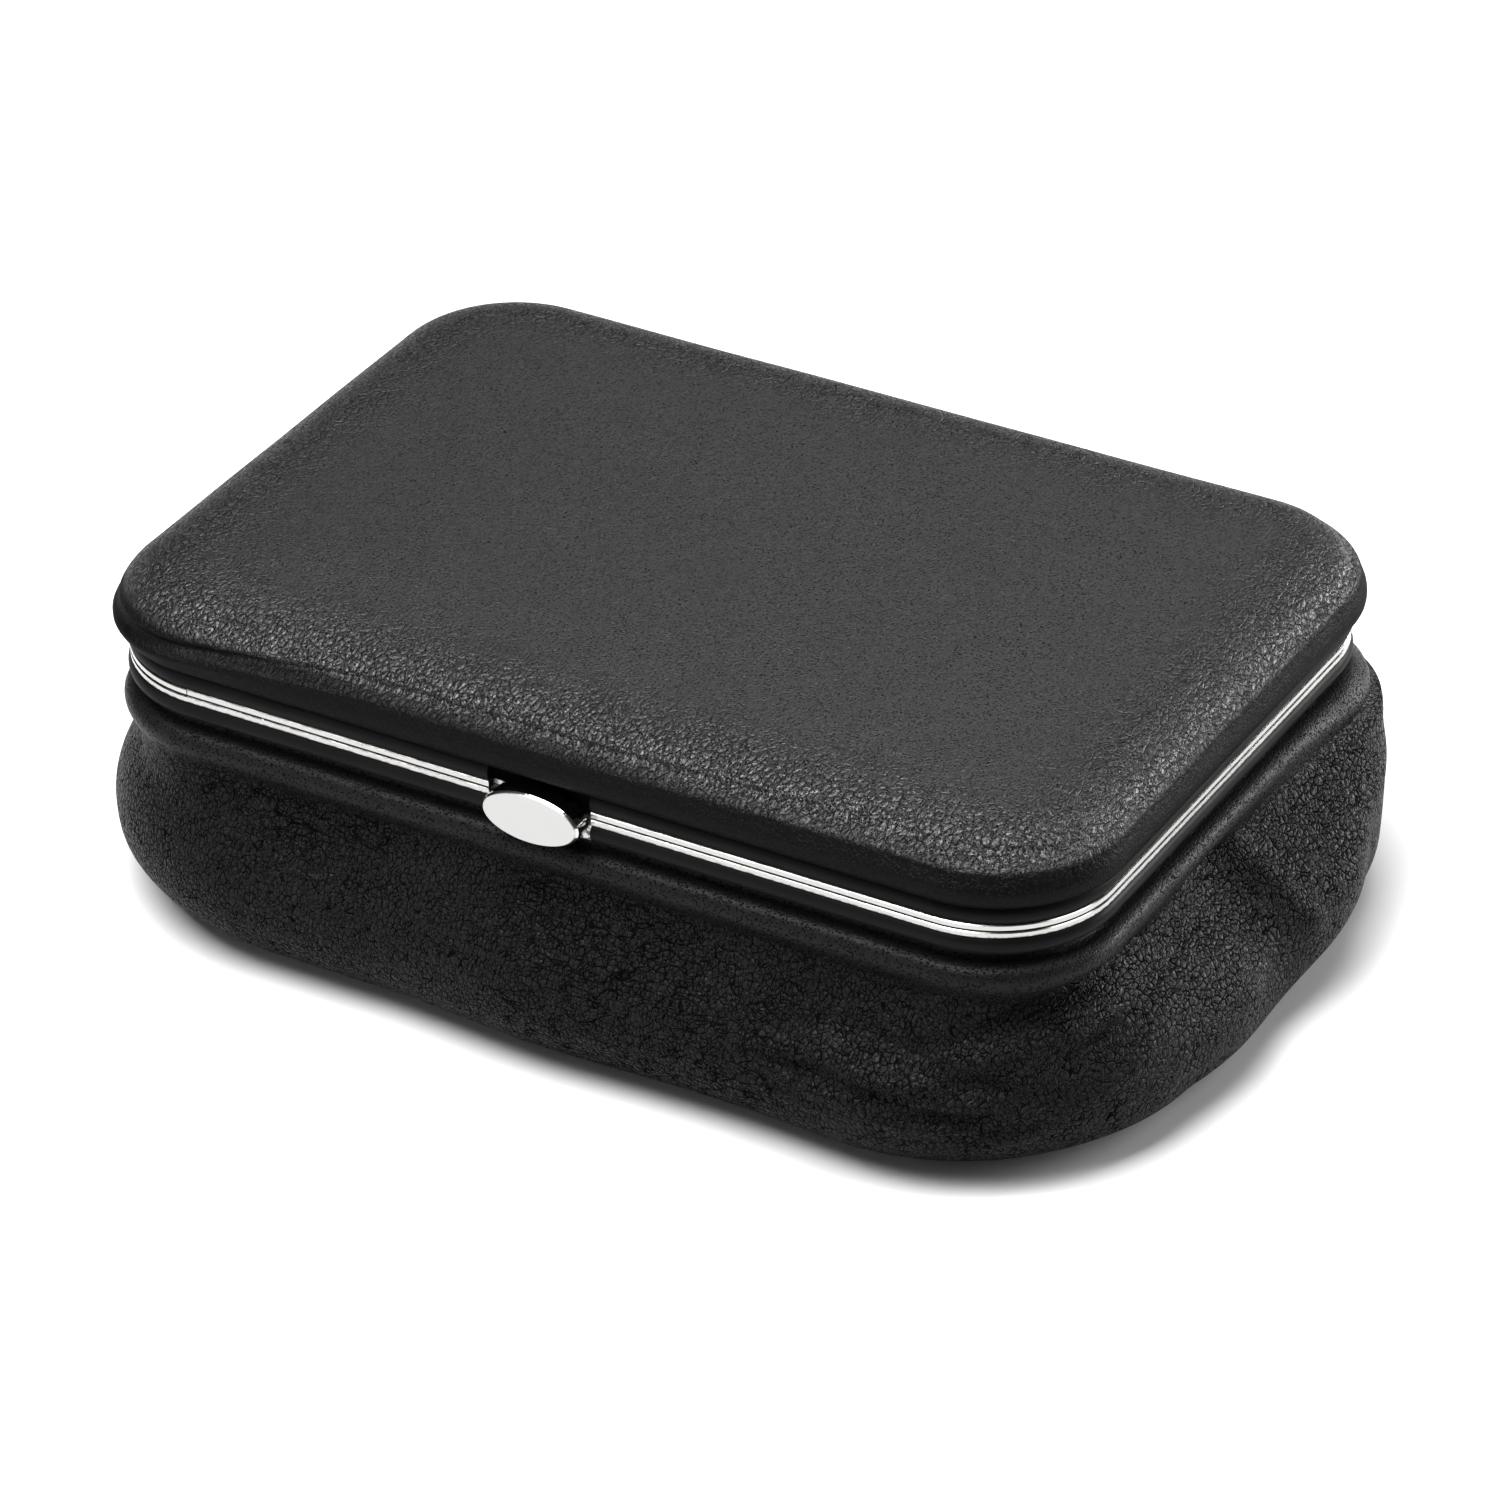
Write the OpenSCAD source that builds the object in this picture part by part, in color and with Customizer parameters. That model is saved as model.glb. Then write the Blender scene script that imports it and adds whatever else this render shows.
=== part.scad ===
// Framed leather case for poker chips: a padded lid and a soft pouch, each held in
// a metal channel frame, two barrel hinges at the back and a push-button clasp.
// The origin is the middle of the footprint on the table, X runs along the length,
// -Y is the clasp side and Z points up.

/* [Frame] */
// Length of the frame, measured on the polished lips
frame_l = 180; // [160:1:220]
// Width of the frame, measured on the polished lips
frame_w = 125; // [110:1:150]
// Corner radius of the polished lips, seen from above
corner_r = 21; // [17:1:28]
// Height of the joint between the two frame halves above the table
joint_z = 47; // [40:1:60]
// Distance from the joint to each polished lip
lip_gap = 0.15; // [0.1:0.05:0.3]
// Height of a polished lip, measured from the joint
lip_h = 1.2; // [1:0.1:1.5]
// Depth of the frame section, from its outside to the inside of the case
frame_t = 5; // [4.5:0.1:6]
// Radius of the half-round black band
band_r = 2; // [1.6:0.1:2.4]

/* [Lid] */
// Height of the lid above the joint at its edge
lid_h = 15.9; // [12:0.1:22]
// Extra height of the padded crown in the middle of the lid
crown_h = 0.7; // [0:0.1:2]
// Width of the rounding along the lid's top edge
edge_w = 10.7; // [6:0.1:14]
// Leather thickness
leather_t = 1.2; // [0.8:0.1:1.6]

/* [Pouch] */
// How far the pouch swells past the frame at its short ends
swell_l = 10; // [0:0.5:14]
// How far the pouch swells past the frame at the front and back
swell_w = 7; // [0:0.5:10]
// Extra corner radius low down on the pouch
swell_r = 17; // [0:1:24]
// Height of the rounding along the pouch's bottom edge
bottom_h = 13; // [8:1:18]

/* [Chip tray] */
// Number of chip channels side by side
channels = 4; // [3:1:4]
// Radius of a channel, for chips of 39 mm
channel_r = 20; // [18:0.5:20]
// Distance between the middles of two channels
channel_pitch = 41; // [41:0.5:42]
// Length of a channel, for 30 chips
channel_l = 102; // [80:1:102]
// Length of the tray
tray_l = 168; // [166:1:169]
// Width of the tray
tray_w = 112; // [108:1:114]

/* [Clasp] */
// Middle of the clasp, measured from the middle of the front
clasp_x = -2; // [-6:1:6]
// Width of the oval button
button_w = 18; // [16:0.5:20]
// Height of the oval button
button_h = 9; // [8:0.5:10]
// How far the button stands out from the polished lips
button_out = 3.5; // [3:0.1:5]
// How far the button can be pressed
button_travel = 1.5; // [1:0.1:1.5]

/* [Hinges] */
// Distance of each hinge from the middle of the back
hinge_x = 50; // [35:1:58]
// Length of one hinge barrel
hinge_l = 24; // [20:1:30]
// Radius of a hinge barrel
barrel_r = 1.5; // [1.4:0.1:1.6]
// Distance of the hinge axis outside the polished lips
hinge_out = 1.6; // [1.6:0.1:2]
// Radius of the hinge pin
pin_r = 0.75; // [0.6:0.05:0.8]

/* [Hidden] */
$fn = 64;

// Frame section, as distances outwards from the lips
wall_out = -1.6;                    // outside of the outer channel wall
wall_in = -2.4;                     // inside of the outer channel wall
inner_wall = -4.3;                  // inside of the inner channel wall
outer_wall_h = 5.2;
inner_wall_h = 6;
band_depth = 2.8;                   // distance of the band's middle from the joint
touch = 0.05;                       // gap between parts that lie on each other
edge_bevel = 0.15;

// Soft layers
neck_top = 1.5;                     // depth at which leather and lining end in the channel
neck_out = wall_in - touch;
lining_t = 0.55;
corner_steps = 8;

// Lid
lid_edge_drop = 12;                 // height of the rounding along the lid's top edge
lid_board_t = 1.4;
lid_board_top = 10;
lid_board_out = -3.4;
lid_ceiling = lid_board_top - lid_board_t;

// Pouch and what lies on its floor
bottom_w = 14;                      // width of the rounding along the bottom edge
base_board_t = 2;
board_z = leather_t + 0.1;
lining_z = board_z + base_board_t + 0.1;
tray_z = lining_z + lining_t + 0.1;
tray_floor_t = 1.5;
channel_z = tray_z + tray_floor_t + channel_r;
tray_top = channel_z + 1.5;

// Clasp, with heights measured from the joint
button_z = -1.15;
stem_z = -2.8;
stem_r = 1.2;
stem_socket_l = 3;
stem_inside = 7.4;                  // reach of the stem inwards from the lips
spring_hole_r = 1.9;
spring_hole_l = 2.6;
bush_r = 1.9;
bush_flange_r = 2.6;
bush_flange_t = 0.75;
hook_in = -5.8;                     // face of the hook towards the frame
hook_t = 0.8;
hook_w = 8;
nose_reach = 0.5;
pocket_w = button_w + 1;
pocket_floor = wall_out;
cover_in = -10;
cover_w = 14;
cover_low = -8.2;
cover_high = -0.6;
cover_t = 0.8;
flange_l = 4.5;
screw_x = cover_w / 2 + 2.3;
screw_z = -4;
screw_r = 0.8;

// Hinges
knuckle_gap = 0.2;
pin_play = 0.05;
leaf_t = 0.65;
leaf_top = 0.12;                    // distance of a leaf's face from the joint
leaf_in = -4.9;
rivet_out = -3.35;
rivet_r = 0.8;
hinge_y = frame_w / 2 + hinge_out;

// ---------- helpers ----------

// Sweeps a profile once round a rounded rectangle. The profile's x runs outwards
// from the rectangle's edge and its y runs up.
module sweep_round(l = frame_l, w = frame_w, r = corner_r) {
    for (quarter = [0:3]) {
        along_x = quarter % 2 == 0;
        rotate([0, 0, 90 * quarter])
            translate([(along_x ? l : w) / 2, 0, 0])
                rotate([90, 0, 0])
                    linear_extrude((along_x ? w : l) - 2 * r, center = true) children();
        translate([
            (quarter == 0 || quarter == 3 ? 1 : -1) * (l / 2 - r),
            (quarter < 2 ? 1 : -1) * (w / 2 - r), 0
        ])
            rotate([0, 0, 90 * quarter])
                rotate_extrude(angle = 90) translate([r, 0]) children();
    }
}

// A flat plate with round corners, standing on z = 0
module round_plate(l, w, r, h) {
    sweep_round(l, w, r) translate([-r, 0]) square([r, h]);
    translate([r - l / 2, r - w / 2, 0]) cube([l - 2 * r, w - 2 * r, h]);
}

// One closed loop of points on a rounded rectangle at height z
function loop_points(half_l, half_w, r, z) = [
    for (quarter = [0:3], step = [0:corner_steps])
        let (a = 90 * quarter + 90 * step / corner_steps,
             sx = quarter == 0 || quarter == 3 ? 1 : -1,
             sy = quarter < 2 ? 1 : -1)
        [sx * (half_l - r) + r * cos(a), sy * (half_w - r) + r * sin(a), z]
];

// Moves a profile of [outwards, depth] points inwards by t, at right angles to itself
function inset(path, t) = [
    for (i = [0:len(path) - 1])
        let (a = path[max(i - 1, 0)],
             b = path[min(i + 1, len(path) - 1)],
             d = (b - a) / norm(b - a))
        path[i] + t * [-d.y, d.x]
];

// Walls between two loops of n points that start at index a and b
function band_faces(a, b, n) = [
    for (j = [0:n - 1])
        let (k = (j + 1) % n)
        each [[a + j, b + j, b + k], [a + j, b + k, a + k]]
];

// A bowl with a skin between two lists of loops. Both lists run from the rim to the
// flat bottom, which lies below the rim or, for a lid, above it.
module bowl(outer, inner, above = false) {
    n = len(outer[0]);
    m = len(outer);
    points = concat([for (loop = outer) each loop], [for (loop = inner) each loop]);
    faces = concat(
        [for (i = [0:m - 2]) each band_faces(i * n, (i + 1) * n, n)],
        [for (i = [0:m - 2]) each band_faces((m + i + 1) * n, (m + i) * n, n)],
        band_faces(m * n, 0, n),
        [[for (j = [n - 1:-1:0]) (m - 1) * n + j]],
        [[for (j = [0:n - 1]) (2 * m - 1) * n + j]]
    );
    turned = [for (f = faces) [for (k = [len(f) - 1:-1:0]) f[k]]];
    polyhedron(points, above ? faces : turned, convexity = 6);
}

// ---------- frame halves ----------

// Section of a frame half, with y as the distance from the joint
module frame_section() {
    polygon([
        [-frame_t, lip_gap], [-edge_bevel, lip_gap], [0, lip_gap + edge_bevel],
        [0, lip_h - edge_bevel], [-edge_bevel, lip_h], [wall_out, lip_h],
        [wall_out, outer_wall_h], [wall_in, outer_wall_h], [wall_in, lip_h],
        [inner_wall, lip_h], [inner_wall, inner_wall_h], [-frame_t, inner_wall_h]
    ]);
}

// Section of the half-round band
module band_section() {
    intersection() {
        translate([wall_out, band_depth]) circle(band_r);
        translate([wall_out + touch, lip_h + touch]) square([band_r, 2 * band_r]);
    }
}

// Pocket in the front that the button sinks into
module clasp_pocket() {
    translate([clasp_x - pocket_w / 2, -frame_w / 2 - band_r, 0])
        cube([pocket_w, band_r - pocket_floor, band_depth + band_r + 1]);
}

// Everything cut from a frame half for the hinges: room for the leaves and barrels
module hinge_cuts() {
    for (side = [-1, 1]) translate([side * hinge_x, frame_w / 2, 0]) {
        translate([-hinge_l / 2 - touch, -frame_t - 1, -1])
            cube([hinge_l + 2 * touch, frame_t + 2, 1 + leaf_top + leaf_t + touch]);
        translate([0, hinge_out, 0]) rotate([0, 90, 0])
            cylinder(r = barrel_r + 0.2, h = hinge_l + 2, center = true);
        for (x = [-1, 1]) translate([x * hinge_l / 3, rivet_out, -1])
            cylinder(r = rivet_r, h = 4);
    }
}

module frame_half() {
    difference() {
        sweep_round() frame_section();
        clasp_pocket();
        hinge_cuts();
    }
}

module band_half() {
    difference() {
        sweep_round() band_section();
        clasp_pocket();
        hinge_cuts();
    }
}

// Turns a part drawn upwards from the joint into one hanging below it
module below_joint() {
    translate([0, 0, joint_z]) mirror([0, 0, 1]) children();
}

module above_joint() {
    translate([0, 0, joint_z]) children();
}

// Places a cylinder's axis on the clasp's stem, with z running inwards from the lips
module on_stem(inwards) {
    translate([clasp_x, -frame_w / 2 + inwards, joint_z + stem_z]) rotate([-90, 0, 0]) children();
}

// Places the two clasp screws, with z running inwards from the lips
module on_screws(inwards) {
    for (side = [-1, 1])
        translate([clasp_x + side * screw_x, -frame_w / 2 + inwards, joint_z + screw_z])
            rotate([-90, 0, 0]) children();
}

module lower_frame() {
    color("gainsboro") difference() {
        below_joint() frame_half();
        on_stem(-wall_out - 1) cylinder(r = bush_r, h = frame_t);
        on_screws(-inner_wall - 0.5) cylinder(r = screw_r, h = 2);
    }
}

module upper_frame() {
    slit_w = 0.25;
    slit_depth = 0.35;
    window_low = lip_h;
    window_h = 2.4;
    color("gainsboro") above_joint() difference() {
        frame_half();
        // window that the latch hook catches in
        translate([clasp_x - hook_w / 2 - 0.5, -frame_w / 2 - inner_wall - 0.5, window_low])
            cube([hook_w + 1, 2, window_h]);
        // butt joints of the short corner piece that closes the ring
        translate([corner_r - frame_l / 2 - slit_w, -frame_w / 2 - 1, 0])
            cube([slit_w, 1 + slit_depth, lip_h]);
        translate([-frame_l / 2 - 1, corner_r - frame_w / 2 - slit_w, 0])
            cube([1 + slit_depth, slit_w, lip_h]);
    }
}

module lower_band() {
    color([0.05, 0.05, 0.05]) below_joint() band_half();
}

module upper_band() {
    color([0.05, 0.05, 0.05]) above_joint() band_half();
}

// ---------- pouch ----------

function smooth_step(x) = let (t = min(max(x, 0), 1)) t * t * (3 - 2 * t);

// How much of the full swell the pouch has at a depth below the joint
function swell(depth) = smooth_step((depth - 9) / 21);

function pouch_loop(p) =
    let (s = swell(p.y))
    loop_points(frame_l / 2 + p.x + s * swell_l, frame_w / 2 + p.x + s * swell_w,
                corner_r + p.x + s * swell_r, joint_z - p.y);

pouch_side = [
    [neck_out, neck_top], [neck_out, 5.4], [-1.2, 6.1], [0.4, 6.5], [1.1, 7.6], [1.3, 9.2],
    [1, 11], [0.6, 13], [0.7, 17], [0.9, 21], [1, 25], [1, 29], [1, joint_z - bottom_h]
];
pouch_round = [
    for (t = [15:15:90])
        [1 - bottom_w * (1 - cos(t)), joint_z - bottom_h * (1 - sin(t))]
];
pouch_path = concat(pouch_side, pouch_round);

// The same profile moved inwards by t, with its floor raised to floor_z
function pouch_inside(t, floor_z) = [
    for (p = inset(pouch_path, t))
        [p.x, p.y < joint_z - bottom_h ? p.y
            : joint_z - bottom_h + (p.y - joint_z + bottom_h) * (bottom_h - floor_z) / (bottom_h - t)]
];

// Slot in the layers in the channel for the bush of the button's stem
module stem_slot(layer_top) {
    translate([clasp_x - bush_r - 0.2, -frame_w / 2 + 1, joint_z + stem_z - bush_r - 0.2])
        cube([2 * bush_r + 0.4, frame_t, layer_top]);
}

module pouch_leather() {
    outer = [for (p = pouch_path) pouch_loop(p)];
    inner = [for (p = pouch_inside(leather_t, leather_t)) pouch_loop(p)];
    color([0.09, 0.09, 0.09]) difference() {
        bowl(outer, inner);
        stem_slot(10);
    }
}

module pouch_lining() {
    out = leather_t + touch;
    outer = [for (p = pouch_inside(out, lining_z)) pouch_loop(p)];
    inner = [for (p = pouch_inside(out + lining_t, lining_z + lining_t)) pouch_loop(p)];
    color([0.1, 0.25, 0.18]) difference() {
        bowl(outer, inner);
        stem_slot(10);
    }
}

module base_board() {
    edge = bottom_w + 1;
    color("tan") translate([0, 0, board_z])
        round_plate(frame_l + 2 * (swell_l - edge), frame_w + 2 * (swell_w - edge),
                    corner_r + swell_r - edge, base_board_t);
}

// Tray with round-bottomed channels for rows of chips, standing on the pouch's floor
module chip_tray() {
    tray_r = 16;
    scoop_r = 34;
    scoop_high = 28;
    color([0.12, 0.3, 0.22]) difference() {
        translate([0, 0, tray_z]) round_plate(tray_l, tray_w, tray_r, tray_top - tray_z);
        for (i = [0:channels - 1])
            translate([(i - (channels - 1) / 2) * channel_pitch, 0, channel_z])
                rotate([90, 0, 0]) cylinder(r = channel_r, h = channel_l, center = true, $fn = 96);
        translate([0, 0, channel_z + scoop_high]) rotate([0, 90, 0])
            cylinder(r = scoop_r, h = channels * channel_pitch - 2, center = true, $fn = 96);
    }
}

// ---------- lid ----------

function lid_loop(p) =
    loop_points(frame_l / 2 + p.x, frame_w / 2 + p.x, corner_r + p.x * 0.8, joint_z + p.y);

// The lid's skin as [outwards, height] points, from the channel to the crown
lid_side = [
    [neck_out, neck_top], [neck_out, 5.3], [-1, 5.55], [0.4, 5.5], [1.4, 5.8], [2, 6.8],
    [1.9, 8.1]
];
lid_round = [
    for (t = [30:10:90])
        [2.1 - edge_w * (1 - cos(t)), lid_h - lid_edge_drop * (1 - sin(t))]
];
lid_crown = [[-16, lid_h + 0.5 * crown_h], [corner_r * -1.2, lid_h + crown_h]];
lid_path = concat(lid_side, lid_round, lid_crown);

module lid_leather() {
    color([0.1, 0.1, 0.1]) bowl(
        [for (p = lid_path) lid_loop(p)],
        [for (p = inset(lid_path, leather_t)) lid_loop(p)],
        above = true
    );
}

// Wadding between the leather and the board. It starts above the leather's neck,
// rises beside the board's rim and then lies on the board.
module lid_padding() {
    gap = 0.15;
    rim_rows = 4;
    under_leather = inset(lid_path, leather_t + gap);
    skin = [for (i = [rim_rows:len(lid_path) - 1]) under_leather[i]];
    bed = [
        for (i = [0:len(skin) - 1])
            let (rise = min(i / rim_rows, 1))
            [i <= rim_rows ? lid_board_out + gap : skin[i].x - 1,
             skin[0].y + (lid_board_top + gap - skin[0].y) * rise]
    ];
    color("khaki") bowl(
        [for (p = skin) lid_loop(p)],
        [for (p = bed)
            loop_points(frame_l / 2 + p.x, frame_w / 2 + p.x, max(corner_r + p.x, 1), joint_z + p.y)],
        above = true
    );
}

module lid_board() {
    rim_h = lid_board_top - inner_wall_h - 0.1;
    color("tan") above_joint() {
        translate([0, 0, inner_wall_h + 0.1]) sweep_round()
            translate([-frame_t + 0.1, 0]) square([frame_t - 0.1 + lid_board_out, rim_h]);
        translate([0, 0, lid_ceiling])
            round_plate(frame_l - 2 * frame_t + 0.2, frame_w - 2 * frame_t + 0.2,
                        corner_r - frame_t + 0.1, lid_board_t);
    }
}

module lid_lining() {
    skirt_h = lid_ceiling - inner_wall_h - 0.15;
    color([0.1, 0.25, 0.18]) above_joint() {
        translate([0, 0, lid_ceiling - touch - lining_t])
            round_plate(frame_l - 2 * frame_t, frame_w - 2 * frame_t, corner_r - frame_t, lining_t);
        translate([0, 0, lid_ceiling - touch - skirt_h]) sweep_round()
            translate([-frame_t - lining_t, 0]) square([lining_t, skirt_h]);
    }
}

// ---------- hinges ----------

// A hinge leaf drawn above the joint, with one knuckle for each [start, end] in spans
module leaf(spans, bore_r) {
    difference() {
        union() {
            translate([-hinge_l / 2, leaf_in, leaf_top])
                cube([hinge_l, hinge_out - barrel_r - touch - leaf_in - 0.1, leaf_t]);
            for (s = spans) {
                translate([s[0], leaf_in, leaf_top])
                    cube([s[1] - s[0], hinge_out - leaf_in, leaf_t]);
                translate([s[0], hinge_out, 0]) rotate([0, 90, 0])
                    cylinder(r = barrel_r, h = s[1] - s[0]);
            }
        }
        translate([-hinge_l, hinge_out, 0]) rotate([0, 90, 0])
            cylinder(r = bore_r, h = 2 * hinge_l);
        for (x = [-1, 1]) translate([x * hinge_l / 3, rivet_out, 0])
            cylinder(r = rivet_r, h = 2);
    }
}

module at_hinges() {
    for (side = [-1, 1]) translate([side * hinge_x, frame_w / 2, 0]) children();
}

module lower_hinge_leaves() {
    third = hinge_l / 6;
    color("silver") below_joint() at_hinges()
        leaf([[-hinge_l / 2, -third - knuckle_gap / 2], [third + knuckle_gap / 2, hinge_l / 2]],
             pin_r);
}

module upper_hinge_leaves() {
    third = hinge_l / 6;
    color("silver") above_joint() at_hinges()
        leaf([[-third + knuckle_gap / 2, third - knuckle_gap / 2]], pin_r + pin_play);
}

module hinge_pins() {
    head_r = 1.2;
    head_t = 0.6;
    color("silver") above_joint() at_hinges() translate([0, hinge_out, 0]) rotate([0, 90, 0]) {
        cylinder(r = pin_r, h = hinge_l + head_t, center = true);
        for (end = [-1, 1])
            translate([0, 0, end * (hinge_l / 2 + head_t / 2)])
                cylinder(r = head_r, h = head_t, center = true);
    }
}

module rivets() {
    at_hinges() for (x = [-1, 1]) translate([x * hinge_l / 3, rivet_out, leaf_top])
        cylinder(r = rivet_r, h = lip_h + 0.1 - leaf_top);
}

module lower_hinge_rivets() {
    color("silver") below_joint() rivets();
}

module upper_hinge_rivets() {
    color("silver") above_joint() rivets();
}

// ---------- clasp ----------

// Flanged bush that guides the button's stem through the channel
module stem_bush() {
    color("goldenrod") difference() {
        union() {
            on_stem(-wall_out) cylinder(r = bush_r, h = frame_t + wall_out);
            on_stem(frame_t) cylinder(r = bush_flange_r, h = bush_flange_t);
        }
        on_stem(0) cylinder(r = stem_r + 0.05, h = 2 * frame_t);
    }
}

// Oval head with a bevelled rim, a blind hole for the spring and a socket for the stem
module push_button() {
    oval = button_h / button_w;
    rim = 0.5;
    color("gainsboro") difference() {
        translate([clasp_x, -frame_w / 2, joint_z + button_z]) rotate([90, 0, 0]) {
            scale([1, oval, 1]) cylinder(d = button_w, h = button_out - rim);
            translate([0, 0, button_out - rim]) scale([1, oval, 1])
                cylinder(d1 = button_w, d2 = button_w - 2 * rim, h = rim);
        }
        on_stem(-spring_hole_l) cylinder(r = spring_hole_r, h = spring_hole_l + 1);
        on_stem(-stem_socket_l) cylinder(r = stem_r, h = stem_socket_l + 1);
    }
}

// Round stem pressed into the head, which carries the hook inside the case
module button_stem() {
    color("silver") on_stem(-stem_socket_l)
        cylinder(r = stem_r, h = stem_socket_l + stem_inside);
}

// Plate on the stem's inner end, with a nose that points at the lid's window
module latch_hook() {
    plate_low = -5.5;
    plate_high = 3.2;
    nose_h = 1;
    color("silver") difference() {
        translate([clasp_x - hook_w / 2, -frame_w / 2, joint_z]) union() {
            translate([0, -hook_in, plate_low]) cube([hook_w, hook_t, plate_high - plate_low]);
            translate([0, -hook_in - nose_reach, plate_high - nose_h])
                cube([hook_w, nose_reach + hook_t, nose_h]);
        }
        on_stem(frame_t) cylinder(r = stem_r, h = 5);
    }
}

// Collar riveted on the stem behind the hook
module stem_collar() {
    color("silver") difference() {
        on_stem(-hook_in + hook_t) cylinder(r = 2.1, h = 0.7);
        on_stem(frame_t) cylinder(r = stem_r, h = 6);
    }
}

// Sheet-metal box over the hook, open at the top for it, with two screwed flanges
module clasp_cover() {
    depth = -cover_in - frame_t - touch;
    color("silver") difference() {
        translate([clasp_x, -frame_w / 2 + frame_t + touch, joint_z]) {
            difference() {
                translate([-cover_w / 2, 0, cover_low])
                    cube([cover_w, depth, cover_high - cover_low]);
                translate([cover_t - cover_w / 2, -1, cover_low + cover_t])
                    cube([cover_w - 2 * cover_t, depth + 1 - cover_t, -cover_low]);
            }
            for (side = [-1, 1])
                translate([side * (cover_w + flange_l) / 2 - flange_l / 2, 0, screw_z - 1.9])
                    cube([flange_l, cover_t, 3.8]);
        }
        on_screws(frame_t) cylinder(r = screw_r, h = 2);
    }
}

module clasp_screws() {
    head_r = 1.5;
    head_t = 0.7;
    slot_w = 0.4;
    color("silver") difference() {
        union() {
            on_screws(-inner_wall) cylinder(r = screw_r, h = frame_t + inner_wall + touch + cover_t);
            on_screws(frame_t + touch + cover_t) cylinder(r = head_r, h = head_t);
        }
        on_screws(frame_t + touch + cover_t + head_t / 2)
            translate([-slot_w / 2, -head_r, 0]) cube([slot_w, 2 * head_r, head_t]);
    }
}

// Round wire coiled on the stem between the bush and the button's blind hole
module button_spring() {
    wire_r = 0.16;
    coil_r = 1.55;
    turns = 4;
    around = 16;
    sides = 6;
    free_l = 4.1;
    rings = turns * around;
    points = [
        for (i = [0:rings], j = [0:sides - 1])
            let (a = 360 * i / around, b = 360 * j / sides, r = coil_r + wire_r * cos(b))
            [r * cos(a), r * sin(a), wire_r * sin(b) + (free_l - 2 * wire_r) * i / rings]
    ];
    faces = concat(
        [for (i = [0:rings - 1]) each band_faces(i * sides, (i + 1) * sides, sides)],
        [[for (j = [sides - 1:-1:0]) rings * sides + j]],
        [[for (j = [0:sides - 1]) j]]
    );
    color("silver") on_stem(wire_r - 2.55) polyhedron(points, faces, convexity = 6);
}

pouch_leather();
pouch_lining();
base_board();
lower_frame();
lower_band();
chip_tray();
lower_hinge_leaves();
hinge_pins();
lower_hinge_rivets();
stem_bush();
clasp_cover();
clasp_screws();
button_spring();
lid_leather();
lid_padding();
lid_board();
lid_lining();
upper_frame();
upper_band();
upper_hinge_leaves();
upper_hinge_rivets();
push_button();
button_stem();
latch_hook();
stem_collar();
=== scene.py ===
import math

import bpy
import numpy as np
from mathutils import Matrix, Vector


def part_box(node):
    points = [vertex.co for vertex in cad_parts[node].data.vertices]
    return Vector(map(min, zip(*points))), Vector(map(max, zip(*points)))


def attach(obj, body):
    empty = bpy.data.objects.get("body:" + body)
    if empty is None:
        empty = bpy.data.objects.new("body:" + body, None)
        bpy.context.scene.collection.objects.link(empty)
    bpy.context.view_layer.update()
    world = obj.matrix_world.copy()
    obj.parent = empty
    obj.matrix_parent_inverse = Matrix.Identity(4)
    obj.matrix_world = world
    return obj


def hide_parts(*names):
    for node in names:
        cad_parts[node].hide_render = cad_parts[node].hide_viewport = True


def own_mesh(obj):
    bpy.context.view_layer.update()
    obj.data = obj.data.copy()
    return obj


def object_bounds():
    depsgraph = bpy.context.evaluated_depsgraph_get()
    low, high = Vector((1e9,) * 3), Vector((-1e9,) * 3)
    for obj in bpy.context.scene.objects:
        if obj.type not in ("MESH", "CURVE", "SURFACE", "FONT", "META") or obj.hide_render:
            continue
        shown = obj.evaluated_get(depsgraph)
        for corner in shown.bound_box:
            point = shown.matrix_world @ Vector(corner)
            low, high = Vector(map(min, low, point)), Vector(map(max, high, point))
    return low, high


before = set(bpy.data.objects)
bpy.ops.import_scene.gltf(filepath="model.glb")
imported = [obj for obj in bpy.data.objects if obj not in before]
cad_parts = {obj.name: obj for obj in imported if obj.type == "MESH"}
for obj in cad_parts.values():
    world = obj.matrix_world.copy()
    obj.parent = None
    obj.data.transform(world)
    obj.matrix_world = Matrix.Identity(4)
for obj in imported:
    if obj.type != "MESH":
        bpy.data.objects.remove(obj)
cad_box = [list(corner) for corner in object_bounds()]

MM = 0.001

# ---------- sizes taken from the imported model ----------

_, frame_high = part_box("lower_frame")
button_low, button_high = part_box("push_button")
HALF_L = frame_high.x / MM              # polished lips, half length
HALF_W = frame_high.y / MM              # polished lips, half width
JOINT = frame_high.z / MM + 0.15        # joint between the frame halves
CORNER = 21.0                           # corner radius of the lips
FLOOR = cad_box[0][2] / MM
CLASP = (button_low.x + button_high.x) / 2 / MM


# ---------- shader helpers ----------

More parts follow.
